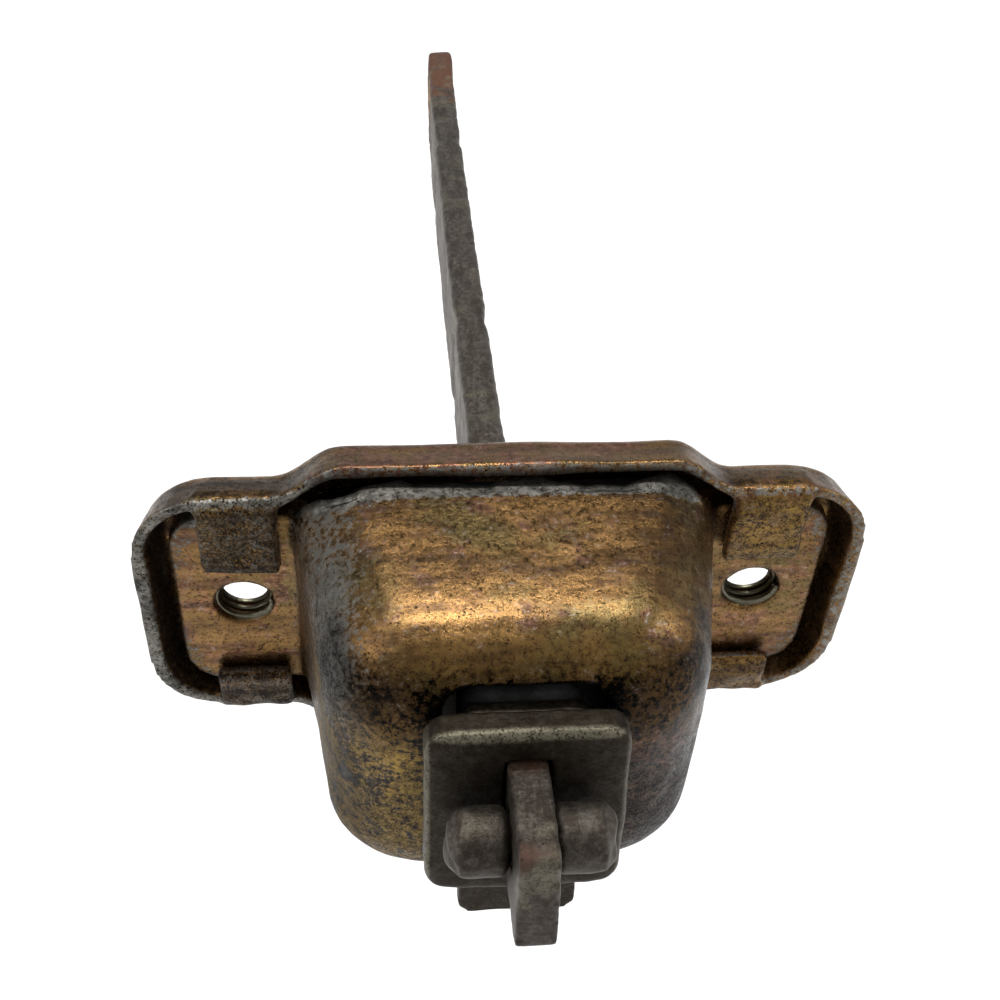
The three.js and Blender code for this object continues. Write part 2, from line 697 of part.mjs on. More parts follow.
// The lid that closes the cage from above.
function cageLid() {
  const lid = block([-cageEndX, -CAGE.halfLength, cageInnerZ], [cageEndX, CAGE.halfLength, cageOuterZ]);
  const lightening = [-1, 1].map((side) =>
    rodZ(CAGE.lightening, cageInnerZ - OVERRUN, cageOuterZ + OVERRUN, side * springMiddleX, 0, 20),
  );
  return cut(lid, ...lightening);
}

// The plastic guide in each end window, with a flange outside the cage.
function armGuide(side) {
  const outerY = CAGE.halfLength + GUIDE.flange;
  const flangeX = guideX + GUIDE.flangeRim;
  const flangeZ = guideZ + GUIDE.flangeLand;
  const inside = block([-guideX, CAGE.halfLength - GUIDE.thickness, -guideZ], [guideX, outerY, guideZ]);
  const flange = block([-flangeX, CAGE.halfLength + GAP, -flangeZ], [flangeX, outerY, flangeZ]);
  const guide = cut(join(inside, flange), armWindow(cageInnerY - OVERRUN, outerY + OVERRUN, GUIDE.sidePlay));
  return side > 0 ? guide : guide.mirror([0, 1, 0]);
}

// A roller on the arm's face, its axle, its fork and the spring behind it, on the right-hand side.
function roller() {
  const half = rollerLength / 2;
  const bore = ROLLER.bore / 2;
  const face = rollerRadius - ROLLER.chamfer;
  const barrel = half - ROLLER.chamfer;
  const profile = [
    [bore, -half],
    [face, -half],
    [rollerRadius, -barrel],
    [rollerRadius, barrel],
    [face, half],
    [bore, half],
    [bore, -half],
  ];
  const turned = new THREE.LatheGeometry(profile.map(([r, z]) => new THREE.Vector2(r, z)), 28);
  return solid(turned.rotateX(Math.PI / 2).translate(rollerX, 0, 0));
}

function rollerAxle() {
  const half = lugZ + FORK.lug + AXLE.overhang;
  return rodZ(AXLE.diameter, -half, half, rollerX, 0, 20);
}

function rollerFork() {
  const outerZ = lugZ + FORK.lug;
  const back = block([forkBackX, -FORK.width / 2, -outerZ], [forkEndX, FORK.width / 2, outerZ]);
  const lugs = [-1, 1].map((side) => {
    const low = side > 0 ? lugZ : -outerZ;
    const arm = block([rollerX, -FORK.lugWidth / 2, low], [forkEndX, FORK.lugWidth / 2, low + FORK.lug]);
    return join(arm, rodZ(FORK.lugWidth, low, low + FORK.lug, rollerX, 0, 24));
  });
  const pilot = rodX(FORK.pilotDiameter, forkBackX, forkEndX + FORK.pilot, 0, 0, 24);
  const bore = rodZ(AXLE.diameter + 2 * GAP, -outerZ - OVERRUN, outerZ + OVERRUN, rollerX, 0, 20);
  return cut(join(back, ...lugs, pilot), bore);
}

class CoilPath extends THREE.Curve {
  getPoint(t) {
    const angle = t * springTurns * 2 * Math.PI;
    const radius = SPRING.meanDiameter / 2;
    const x = springStartX + SPRING.wire / 2 + (SPRING.length - SPRING.wire) * t;
    return new THREE.Vector3(x, radius * Math.cos(angle), radius * Math.sin(angle));
  }
}

function coilSpring() {
  const section = new THREE.Shape();
  section.absarc(0, 0, SPRING.wire / 2, 0, 2 * Math.PI);
  const steps = Math.round(springTurns * SPRING.stepsPerTurn);
  const options = { steps, curveSegments: 5, bevelEnabled: false, extrudePath: new CoilPath() };
  return solid(new THREE.ExtrudeGeometry(section, options));
}

// ---------------------------------------------------------------------------------------------------------
// The assembly
// ---------------------------------------------------------------------------------------------------------

addMesh("mounting_plate", mountingPlate(), MATERIALS.pinkZinc);
addMesh("housing", housing(), MATERIALS.yellowZinc);
addMesh("seal_plate", sealPlate(), MATERIALS.rubber);

addMesh("check_arm", checkArm(), MATERIALS.darkSteel, swing);
addMesh("eye_bush", eyeBush(), MATERIALS.bronze, swing);
addMesh("stop_plate", stopPlate(), MATERIALS.bareSteel, swing);
addMesh("buffer_carrier", bufferCarrier(), MATERIALS.bareSteel, swing);
addMesh("rubber_buffer", rubberBuffer(), MATERIALS.rubber, swing);
addMesh("cross_pin", crossPin(), MATERIALS.bareSteel, swing);

addMesh("cage_frame", cageFrame(), MATERIALS.darkSteel, swing);
addMesh("cage_lid", cageLid(), MATERIALS.darkSteel, swing);
addMesh("front_arm_guide", armGuide(-1), MATERIALS.acetal, swing);
addMesh("rear_arm_guide", armGuide(1), MATERIALS.acetal, swing);

for (const [name, side] of [["right", 1], ["left", -1]]) {
  const placed = (body) => (side > 0 ? body : body.mirror([1, 0, 0]));
  addMesh(`${name}_roller`, placed(roller()), MATERIALS.acetal, swing);
  addMesh(`${name}_roller_axle`, placed(rollerAxle()), MATERIALS.springSteel, swing);
  addMesh(`${name}_roller_fork`, placed(rollerFork()), MATERIALS.bareSteel, swing);
  addMesh(`${name}_spring`, placed(coilSpring()), MATERIALS.springSteel, swing);
  addMesh(`${name}_pivot_bush`, pivotBush(side), MATERIALS.acetal);
}

export default part;
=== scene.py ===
"""Door check with a sliding arm: worn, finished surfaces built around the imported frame.

The housing, its mounting plate, the arm and what hangs on the arm get a soft, dented skin over their true
shapes, and the small turned and stamped parts get dressed edges. Lengths are in metres, in the frame of the
part: the mounting face is at Y = 0, the arm runs away along +Y, and Z is up.
"""

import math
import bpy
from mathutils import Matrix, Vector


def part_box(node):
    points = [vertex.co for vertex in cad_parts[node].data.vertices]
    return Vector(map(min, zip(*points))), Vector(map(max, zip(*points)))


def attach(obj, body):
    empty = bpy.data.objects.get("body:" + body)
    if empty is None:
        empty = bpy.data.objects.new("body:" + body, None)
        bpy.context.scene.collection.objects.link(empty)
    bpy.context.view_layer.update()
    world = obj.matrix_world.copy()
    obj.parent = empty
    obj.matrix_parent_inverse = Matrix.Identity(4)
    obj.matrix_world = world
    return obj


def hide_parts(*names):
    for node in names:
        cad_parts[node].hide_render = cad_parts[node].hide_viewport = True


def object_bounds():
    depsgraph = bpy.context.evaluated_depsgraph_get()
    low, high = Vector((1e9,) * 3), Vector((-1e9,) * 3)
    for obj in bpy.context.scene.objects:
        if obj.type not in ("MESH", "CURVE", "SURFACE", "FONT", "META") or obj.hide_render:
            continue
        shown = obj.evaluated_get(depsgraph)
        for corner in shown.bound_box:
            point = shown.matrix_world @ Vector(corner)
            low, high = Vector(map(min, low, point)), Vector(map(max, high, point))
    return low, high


bl_info = {
    "name": "Door Check",
    "version": (1, 0, 0),
    "blender": (4, 5, 0),
    "location": "View3D > Sidebar > Door Check",
    "description": "Builds the worn surfaces of a door check around its packed frame",
    "category": "Object",
}

import bmesh
import bpy
from mathutils import Matrix, Vector, noise

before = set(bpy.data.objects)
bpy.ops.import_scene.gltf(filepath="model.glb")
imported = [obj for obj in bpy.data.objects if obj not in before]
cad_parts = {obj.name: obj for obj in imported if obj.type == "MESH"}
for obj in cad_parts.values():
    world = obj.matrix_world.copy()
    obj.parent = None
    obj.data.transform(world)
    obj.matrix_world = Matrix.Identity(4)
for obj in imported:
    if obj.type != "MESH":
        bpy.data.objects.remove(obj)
CAD_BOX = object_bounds()
MM = 0.001
WELD = 2e-6  # loose triangles closer than this are joined
HOLE_SIDES = (("left", -1), ("right", 1))

PLATE_LOW, PLATE_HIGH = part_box("mounting_plate")
HOUSING_LOW, HOUSING_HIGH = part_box("housing")
PIN_LOW, PIN_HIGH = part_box("cross_pin")
BOLT_X = 28 * MM  # from the middle to each tapped hole
EAR_THICKNESS = 3 * MM
EAR_BACK = -HOUSING_HIGH.y
EAR_FRONT = EAR_BACK + EAR_THICKNESS
MIX_FACTOR, MIX_BELOW, MIX_ABOVE, MIX_RESULT = 0, 6, 7, 2  # the colour sockets of a Mix node
THREAD_STEPS = 30  # sections in one turn of the thread's ridge


# ----------------------------------------------------------------------------------------------------------
# Settings that a user would change
# ----------------------------------------------------------------------------------------------------------


def length(name, description, value, least=0.0):
    return bpy.props.FloatProperty(
        name=name, description=description, default=value, min=least, unit="LENGTH", precision=5
    )


def colour(name, description, value):
    return bpy.props.FloatVectorProperty(
        name=name, description=description, default=value, size=3, min=0, max=1, subtype="COLOR"
    )


class SheetSettings(bpy.types.PropertyGroup):
    """How the drawn and folded sheet has worn."""

    grain: length("Grain", "Distance between points of the reworked skin", 0.42 * MM, 0.2 * MM)
    rounds: bpy.props.IntProperty(
        name="Softening", description="Rounds of smoothing", default=4, min=0, max=20
    )
    dent: length("Dents", "Depth of the shallow dents in the sheet", 0.16 * MM)
    wave: length("Edge wave", "How far the open rear edge of the housing wanders", 0.8 * MM)
    crumple: length("Tab crumple", "Depth of the hammer marks on the folded tabs", 0.3 * MM)


class ThreadSettings(bpy.types.PropertyGroup):
    """The thread in each ear."""

    pitch: length("Pitch", "From crest to crest", 1.0 * MM, 0.2 * MM)
    root: length("Root radius", "Radius at the bottom of the thread", 3.2 * MM)
    crest: length("Crest radius", "Radius at the top of the thread", 2.52 * MM)
    turns: bpy.props.FloatProperty(name="Turns", description="Turns in the sheet", default=2.7, min=1, max=6)


class ArmSettings(bpy.types.PropertyGroup):
    """The arm and the pieces fixed to its near end."""

    grain: length("Grain", "Distance between points of the reworked skin", 0.45 * MM, 0.2 * MM)
    pits: length("Pits", "Depth of the pits that rust has left", 0.1 * MM)
    hammered: length("Hammered heads", "How uneven the ends of the cross pin are", 0.5 * MM)


class FinishSettings(bpy.types.PropertyGroup):
    """Colours of the worn finishes."""

    gold: colour("Gold", "Sound yellow zinc", (0.27, 0.15, 0.055))
    brown: colour("Brown", "Yellow zinc where it has browned", (0.10, 0.054, 0.026))
    olive: colour("Olive", "Yellow zinc where it turns green", (0.15, 0.115, 0.045))
    copper: colour("Copper", "Yellow zinc where it turns pink", (0.32, 0.14, 0.085))
    # Also the colour of the painted highlight along the housing's top-front fillet.
    bright: colour("Bright yellow", "Fresh yellow patches", (0.34, 0.21, 0.04))
    fleck: colour("Fleck", "Pale specks where the zinc has been scratched", (0.42, 0.41, 0.37))
    # Also the colour of the painted shade at the stop end of the steel on the arm.
    grime: colour("Grime", "Black pits and stains", (0.014, 0.010, 0.008))
    worn: colour("Worn zinc", "Grey zinc where the yellow has gone", (0.21, 0.205, 0.185))
    steel: colour("Steel", "Bare dull steel", (0.056, 0.045, 0.036))
    pale_steel: colour("Pale steel", "The same steel where it is cleaner", (0.16, 0.14, 0.12))
    brown_steel: colour("Brown steel", "Steel with a brown film", (0.020, 0.0135, 0.008))
    # Also the colour of the painted highlights on the stop plate's top bevel and on the cross pin.
    rubbed: colour("Rubbed steel", "Steel rubbed bright", (0.17, 0.155, 0.11))
    rust: colour("Rust", "Rust brown", (0.13, 0.05, 0.022))
    oiled: colour("Oiled steel", "Dark oily steel inside the cage", (0.03, 0.028, 0.026))


class StageSettings(bpy.types.PropertyGroup):
    """Camera, floor and lights."""

    lens: bpy.props.FloatProperty(name="Lens", description="Focal length, mm", default=52.91, min=10, max=200)
    floor_drop: length("Floor drop", "How far the floor lies below the part", 90 * MM)
    key: bpy.props.FloatProperty(name="Key light", description="Power in watts", default=3.2, min=0)
    fill: bpy.props.FloatProperty(name="Fill lights", description="Power in watts", default=1.9, min=0)
    sky: bpy.props.FloatProperty(name="Sky", description="Brightness of the surroundings", default=0.5, min=0)


class DoorCheckSettings(bpy.types.PropertyGroup):
    """All the settings of the door check."""

    sheet: bpy.props.PointerProperty(type=SheetSettings)
    thread: bpy.props.PointerProperty(type=ThreadSettings)
    arm: bpy.props.PointerProperty(type=ArmSettings)
    finish: bpy.props.PointerProperty(type=FinishSettings)
    stage: bpy.props.PointerProperty(type=StageSettings)


def settings():
    return bpy.context.scene.door_check


# ----------------------------------------------------------------------------------------------------------
# Shader maths and materials
# ----------------------------------------------------------------------------------------------------------


class Field:
    """A number that varies over a surface: a node's output socket, with arithmetic."""

    def __init__(self, finish, socket):
        self.finish = finish
        self.socket = socket

    def _math(self, operation, *values, clamp=False):
        settings_of_node = {"operation": operation, "use_clamp": clamp}
        return self.finish.number("ShaderNodeMath", settings_of_node, dict(enumerate(values)))

    def __add__(self, other):
        return self._math("ADD", self, other)

    def __radd__(self, other):
        return self._math("ADD", other, self)

    def __sub__(self, other):
        return self._math("SUBTRACT", self, other)

    def __rsub__(self, other):
        return self._math("SUBTRACT", other, self)

    def __mul__(self, other):
        return self._math("MULTIPLY", self, other)

    def __rmul__(self, other):
        return self._math("MULTIPLY", other, self)

    def size(self):
        return self._math("ABSOLUTE", self)

    def within(self):
        return self._math("ADD", self, 0.0, clamp=True)

    def rise(self, low, high):
        """0 below low, 1 above high and smooth between them. With low above high it falls instead."""
        flip = low > high
        ends = {"From Min": min(low, high), "From Max": max(low, high)}
        ends.update({"To Min": 1.0, "To Max": 0.0} if flip else {"To Min": 0.0, "To Max": 1.0})
        return self.finish.number(
            "ShaderNodeMapRange", {"interpolation_type": "SMOOTHSTEP"}, {"Value": self, **ends}
        )


class Finish:
    """A material under construction, with its patterns measured in millimetres of the part's own frame."""

    def __init__(self, name, metallic=1.0, roughness=0.45):
        self.material = bpy.data.materials.new(name)
        self.material.use_nodes = True
        self.tree = self.material.node_tree
        self.shader = self.tree.nodes["Principled BSDF"]
        self.shader.inputs["Metallic"].default_value = metallic
        self.shader.inputs["Roughness"].default_value = roughness
        coordinate = self.node("ShaderNodeTexCoord", {}, {}).outputs["Object"]
        in_mm = {"Vector": coordinate, "Scale": 1 / MM}
        grown = self.node("ShaderNodeVectorMath", {"operation": "SCALE"}, in_mm)
        self.place = grown.outputs[0]
        split = self.node("ShaderNodeSeparateXYZ", {}, {"Vector": self.place}).outputs
        self.x, self.y, self.z = (Field(self, split[axis]) for axis in "XYZ")

    def node(self, kind, node_settings, sockets):
        """A node with its settings set first, then its sockets given values or links."""
        made = self.tree.nodes.new(kind)
        for key, value in node_settings.items():
            setattr(made, key, value)
        for key, value in sockets.items():
            socket = made.inputs[key]
            if isinstance(value, Field):
                value = value.socket
            if isinstance(value, bpy.types.NodeSocket):
                self.tree.links.new(value, socket)
            elif hasattr(value, "__len__") and len(value) == 3 and socket.type == "RGBA":
                socket.default_value = (*value, 1.0)
            else:
                socket.default_value = value
        return made

    def number(self, kind, node_settings, sockets):
        made = self.node(kind, node_settings, sockets)
        return Field(self, made.outputs["Fac"] if "Fac" in made.outputs else made.outputs[0])

    def cloud(self, per_mm, detail=4.0, rough=0.55, shift=0.0, stretch=(1, 1, 1)):
        """Soft noise from 0 to 1 with about this many lumps in a millimetre."""
        mapping = {"Vector": self.place, "Location": (shift, -shift, shift), "Scale": stretch}
        moved = self.node("ShaderNodeMapping", {}, mapping)
        sockets = {"Vector": moved.outputs[0], "Scale": per_mm, "Detail": detail, "Roughness": rough}
        return self.number("ShaderNodeTexNoise", {}, sockets)

    def blend(self, below, above, share, mode="MIX"):
        """Colour above over colour below, by a share from 0 to 1."""
        node_settings = {"data_type": "RGBA", "blend_type": mode, "clamp_factor": True}
        made = self.tree.nodes.new("ShaderNodeMix")
        for key, value in node_settings.items():
            setattr(made, key, value)
        factor, first, second = (made.inputs[place] for place in (MIX_FACTOR, MIX_BELOW, MIX_ABOVE))
        for socket, value in ((factor, share), (first, below), (second, above)):
            if isinstance(value, Field):
                value = value.socket
            if isinstance(value, bpy.types.NodeSocket):
                self.tree.links.new(value, socket)
            elif socket is factor:
                socket.default_value = value
            else:
                socket.default_value = (*value, 1.0)
        return made.outputs[MIX_RESULT]

    def paint(self, base, roughness=None, metallic=None):
        self.tree.links.new(base, self.shader.inputs["Base Color"])
        if roughness is not None:
            self.tree.links.new(roughness.socket, self.shader.inputs["Roughness"])
        if metallic is not None:
            self.tree.links.new(metallic.socket, self.shader.inputs["Metallic"])

    def relief(self, height, depth_mm):
        """Bump from a height field of 0 to 1 that stands this deep."""
        sockets = {"Height": height, "Strength": 1.0, "Distance": depth_mm * MM}
        made = self.node("ShaderNodeBump", {}, sockets)
        self.tree.links.new(made.outputs[0], self.shader.inputs["Normal"])


def aged_zinc(name, pinkness, pitting, wear, patches, shade):
    """Yellow-passivated zinc gone brown, green and pink, with black pits, stains and grey wear.

    Each of the last five takes the finish and gives a mask: where the yellow turns pink, how thickly the pits
    lie, bare grey zinc, bright yellow patches (on the housing's top fillet a painted highlight), and how far
    painted shade darkens the sheet.
    """
    tints = settings().finish
    made = Finish(name)
    broad = made.cloud(0.1, 4, 0.6)
    medium = made.cloud(0.34, 6, 0.68, shift=31)
    fine = made.cloud(1.5, 6, 0.74, shift=7)
    grit = made.cloud(4.6, 4, 0.72, shift=17)
    streak = made.cloud(0.62, 5, 0.65, shift=53, stretch=(0.16, 1, 1))
    density = pitting(made)
    # Bright yellow patches, and on the housing's top-front fillet a painted highlight.
    fresh_yellow_and_highlight = (patches(made) * (medium * 0.7 + fine * 0.5).rise(0.5, 0.62)).within()
    base = made.blend(tints.gold, tints.brown, (streak * 0.7 + fine * 0.5).rise(0.54, 0.7) * 0.8)
    base = made.blend(base, tints.olive, (broad + fine * 0.3).rise(0.66, 0.8) * 0.7)
    pink = (medium * 0.8 + grit * 0.3 + pinkness(made)).rise(0.6, 0.7)
    base = made.blend(base, tints.copper, pink * 0.85)
    base = made.blend(base, tints.bright, fresh_yellow_and_highlight)
    worn = (wear(made) * 0.8 + fine * 0.9 + grit * 0.5).rise(0.92, 1.02)
    base = made.blend(base, tints.worn, worn * 0.92)
    stain = (medium * 0.7 + streak * 0.35 + density * 0.16).rise(0.53, 0.68)
    base = made.blend(base, tints.grime, stain * 0.62 * (1 - fresh_yellow_and_highlight * 0.8))
    fleck = (grit * 0.6 + fine * 0.5).rise(0.6, 0.67) * medium.rise(0.45, 0.58)
    base = made.blend(base, tints.fleck, fleck * 0.6)
    pit = ((1 - fine) * 0.35 + grit * 0.8 + density * 0.2).rise(0.655, 0.7)
    base = made.blend(base, tints.grime, pit * (0.95 - fresh_yellow_and_highlight * 0.35))
    # Painted shade from the shade mask, weakened on the bright yellow and pink patches and joined by a random
    # dark mottling, multiplied into the colour.
    cover = (0.9 - fresh_yellow_and_highlight * 0.65 - pink * 0.25).within()
    mottling_and_painted_shade = (shade(made) * cover + (1 - fine).rise(0.4, 0.65) * 0.4).within()
    base = made.blend(base, made.blend((1, 1, 1), (0, 0, 0), mottling_and_painted_shade), 1.0, "MULTIPLY")
    rough = (0.2 + stain * 0.16 + worn * 0.12 + fine * 0.14 + pit * 0.2).within()
    made.paint(base, rough, (0.98 - stain * 0.12).within())
    made.relief(fine * 0.4 + medium * 0.7 + grit * 0.2 - pit * 0.5 + worn * 0.2, 0.11)
    return made.material


def housing_zinc():
    def on_nose(made, left, right):
        """The front of the box, from one side across to the other."""
        return made.x.rise(left, right) * made.z.rise(13, 5) * made.y.rise(-13, -19)

    def pinkness(made):
        return on_nose(made, 7, 12) * 0.12 + made.x.size().rise(22, 24) * 0.07

    def pitting(made):
        low = made.z.rise(13, -4) * made.y.rise(-14, -24)
        flanks = made.x.rise(-13, -18) * made.z.rise(18, 6) * made.y.rise(-6, -9)
        return (low * 0.55 + flanks * 0.5 + 0.08).within()

    def wear(made):
        upper_left = made.x.rise(-8, -18.5) * made.z.rise(2, 17) * made.x.rise(-24, -22)
        rear_edge = made.y.rise(-8.8, -7.2) * made.z.rise(16, 18)
        ear_ends = (made.x.size() + made.z.size() * 0.35).rise(34.0, 37)
        ear_edges = made.z.size().rise(11.8, 13.3) * made.x.size().rise(23, 25)
        left_flank = made.x.rise(-15, -19) * made.y.rise(-9, -20) * 0.4
        edges = rear_edge * 0.6 + ear_ends * 0.3 + ear_edges * 0.3
        return (upper_left * 0.34 + edges + left_flank * 0.5).within()

    def patches(made):
        # A painted highlight: bright yellow along the top-front fillet, which also lifts the painted shade
        # there.
        fillet = (made.z - made.y - 42).rise(0, 3) * made.z.rise(12, 16) * 0.4
        ears = made.x.size().rise(22, 24) * 0.14
        return (on_nose(made, -5, -10) + fillet + ears).within()

    # Painted shade: darkens the nose below the top-front fillet, more around the slot, the top face and the
    # right flank.
    def shade(made):
        nose = made.y.rise(-17, -22) * made.z.rise(18.3, 14.5)
        top = made.z.rise(15, 18) * made.y.rise(-20, -16)
        around_slot = made.x.size().rise(12, 8) * nose * 0.25
        right_flank = made.x.rise(14, 18) * made.z.rise(17, 12) * 0.12
        return (nose * 0.76 + around_slot + right_flank + top * 0.34).within()

    return aged_zinc("worn_yellow_zinc", pinkness, pitting, wear, patches, shade)


def plate_zinc():
    def pinkness(made):
        return made.x.size().rise(26, 12) * 0.09 + made.x.rise(16, 26) * 0.06

    def pitting(made):
        return (made.x.rise(-10, -26) * 0.14 + made.y.rise(-6.2, -6.6) * 0.22 + 0.14).within()

    def wear(made):
        tabs = made.y.rise(-6.1, -6.5) * 0.14
        lip = made.y.rise(-5.2, -5.8) * made.y.rise(-6.4, -6.1) * 0.36
        return (tabs + lip + made.x.rise(-14, -24) * 0.16).within()

    def patches(made):
        tabs = made.y.rise(-6.2, -6.6)
        return (made.x.rise(18, 30) * 0.3 + tabs * made.z.rise(7, 9) * 0.3).within()

    # Painted shade: inside the tray behind the rim, and on the outer faces of the folded tabs.
    def shade(made):
        inside = made.z.rise(20, 18.6) * made.y.rise(-1.4, -2.2) * made.y.rise(-5.6, -5.0)
        return (inside * 0.5 + made.y.rise(-6.3, -6.6) * 0.3).within()

    return aged_zinc("worn_pink_zinc", pinkness, pitting, wear, patches, shade)


def pitted_steel(name, dark, pale, rust_where, rubbed_and_highlight_where):
    """Bare steel, dulled and pitted, rust where one mask says, rubbed bright and painted highlights where the
    other does.
    """
    tints = settings().finish
    made = Finish(name, roughness=0.5)
    medium = made.cloud(0.36, 6, 0.68, shift=12)
    fine = made.cloud(1.9, 6, 0.76, shift=4)
    grit = made.cloud(4.2, 4, 0.7, shift=25)
    along = made.cloud(0.9, 5, 0.68, shift=40, stretch=(1, 0.14, 1))
    base = made.blend(dark, pale, (fine * 0.6 + along * 0.55).rise(0.5, 0.72))
    rusty = (rust_where(made) + medium * 0.5 + fine * 0.4).rise(0.66, 0.92)
    base = made.blend(base, tints.rust, rusty * 0.8)
    # Rubbed bright patches, and on the stop plate and the pin painted highlights, in the rubbed colour.
    rubbed_and_highlight = (rubbed_and_highlight_where(made) * (grit * 0.8 + fine * 0.5).rise(0.5, 0.7)).within()
    base = made.blend(base, tints.rubbed, rubbed_and_highlight)
    pit = (fine * 0.5 + grit * 0.55).rise(0.6, 0.68) * medium.rise(0.4, 0.58)
    grime = (along * 0.6 + medium * 0.5).rise(0.56, 0.72)
    # Painted shade: the steel at the stop end (arm end, stop plate, pin, tongued plate) is darkened towards
    # the grime colour, except where rubbed bright.
    near_end_shade = made.y.rise(-28, -32) * 0.3
    base = made.blend(base, tints.grime, ((pit + grime * 0.55) * 0.85 + near_end_shade * (1 - rubbed_and_highlight)).within())
    rough = (0.4 + rusty * 0.25 + fine * 0.2 - rubbed_and_highlight * 0.12).within()
    made.paint(base, rough, (0.96 - rusty * 0.4).within())
    made.relief(fine * 0.7 + medium * 0.7 + grit * 0.3 - pit * 0.8, 0.13)
    return made.material


def arm_steel():
    tints = settings().finish

    def rust(made):
        tip = made.y.rise(105, 150) * 0.42
        mouth = made.y.rise(-37.5, -33.5) * made.z.rise(8, 10) * 0.34
        corner = (made.z - made.y - 54).rise(0, 1.0) * 0.2
        patches = made.cloud(0.12, 2, 0.5, shift=66).rise(0.5, 0.7) * 0.2
        return (tip * made.y.rise(60, 62) + mouth * made.y.rise(-10, -20) + corner + patches).within()

    def rubbed_and_highlight(made):
        return made.cloud(0.16, 3, 0.6, shift=81).rise(0.5, 0.62) * 0.65

    return pitted_steel("pitted_arm_steel", tints.steel, tints.pale_steel, rust, rubbed_and_highlight)


def stop_steel():
    tints = settings().finish

    def rubbed_and_highlight(made):
        # A painted highlight along the top bevel; brighter along the side edges, the left more than the
        # right, and a little everywhere.
        bevel = made.z.rise(13.2, 13.8) * made.y.rise(-32.1, -32.7)
        edge = made.x.rise(-8.9, -9.3) * 0.7
        return (bevel + edge + made.x.rise(8.9, 9.3) * 0.4 + 0.08).within()

    def rust(made):
        return made.z.rise(10, -6) * 0.12

    return pitted_steel("dull_stop_steel", tints.brown_steel, tints.steel, rust, rubbed_and_highlight)


def pin_steel():
    tints = settings().finish

    def rubbed_and_highlight(made):
        # A painted highlight on the top of the pin just left of the arm, and a little rubbed brightening
        # everywhere.
        return (made.x.rise(-3, -4.5) * made.x.rise(-7.5, -6) * made.z.rise(8.2, 9.4) * 0.8 + 0.04).within()

    def rust(made):
        return made.z.rise(9, 2) * 0.06

    return pitted_steel("hammered_pin_steel", tints.steel, tints.pale_steel, rust, rubbed_and_highlight)


def oiled_steel(name, tint):
    """Clean steel with fine drawing marks and a film of oil."""
    made = Finish(name, roughness=0.3)
    fine = made.cloud(2.4, 4, 0.6)
    marks = made.cloud(1.2, 3, 0.5, shift=20, stretch=(0.12, 1, 3))
    dark = tuple(channel * 0.6 for channel in tint)
    base = made.blend(dark, tint, (fine * 0.4 + marks * 0.8).rise(0.4, 0.75))
    made.paint(base, 0.24 + fine * 0.14 + marks * 0.1)
    made.relief(fine * 0.3 + marks * 0.5, 0.015)
    return made.material


def moulded(name, tint, roughness, grain_depth):
    """Moulded plastic or rubber: nearly one colour, with flow marks, dust and a fine grain."""
    made = Finish(name, metallic=0.0, roughness=roughness)
    broad = made.cloud(0.25, 3, 0.55)
    fine = made.cloud(3.0, 4, 0.6, shift=9)
    dusty = tuple(min(1, channel * 0.8 + 0.03) for channel in tint)
    base = made.blend(tint, dusty, (broad * 0.7 + fine * 0.4).rise(0.45, 0.75))
    made.paint(base, roughness - 0.08 + fine * 0.16)
    made.relief(fine * 0.7 + broad * 0.4, grain_depth)
    return made.material


# ----------------------------------------------------------------------------------------------------------
# Shaping
# ----------------------------------------------------------------------------------------------------------


def merged_copy(node):
    """A CAD node's mesh with its loose triangles joined."""
    made = bmesh.new()
    made.from_mesh(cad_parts[node].data)
    bmesh.ops.remove_doubles(made, verts=made.verts, dist=WELD)
    return made


def as_piece(name, made, material, body, nodes):
    """An object from a bmesh, smooth shaded, that rides on a body and stands for these CAD nodes."""
    mesh = bpy.data.meshes.new(name)
    for face in made.faces:
        face.smooth = True
    made.to_mesh(mesh)
    made.free()
    mesh.materials.append(material)
    piece = bpy.data.objects.new(name, mesh)
    bpy.context.scene.collection.objects.link(piece)
    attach(piece, body)
    if nodes:
        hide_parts(*nodes)
    return piece


def reskinned(made, grain, rounds):
    """The same solid under an even skin, with its edges softened the way drawing and wear leave them."""
    mesh = bpy.data.meshes.new("skin")
    made.to_mesh(mesh)
    made.free()
    holder = bpy.data.objects.new("skin", mesh)
    bpy.context.scene.collection.objects.link(holder)
    skin = holder.modifiers.new("Skin", "REMESH")
    skin.mode = "VOXEL"
    skin.voxel_size = grain
    made = bmesh.new()
    made.from_object(holder, bpy.context.evaluated_depsgraph_get())
    bpy.data.objects.remove(holder)
    bpy.data.meshes.remove(mesh)
    axes = {"use_axis_x": True, "use_axis_y": True, "use_axis_z": True}
    for _ in range(rounds):
        bmesh.ops.smooth_vert(made, verts=made.verts, factor=0.5, **axes)
    made.normal_update()
    return made


def smoothstep(value, low, high):
    share = min(max((value - low) / (high - low), 0.0), 1.0)
    return share * share * (3 - 2 * share)


def dented(made, depth, spacing, where=None, seed=0.0):
    """Pushes the skin in and out by up to depth, in lumps about this far apart, where the mask allows it."""
    shift = Vector((seed, 2 * seed, -seed))
    moves = []
    for point in made.verts:
        share = 1.0 if where is None else where(point.co)
        if share > 0:
            moves.append((point, point.normal * (depth * share * noise.noise(point.co / spacing + shift))))
    for point, move in moves:
        point.co += move
    made.normal_update()


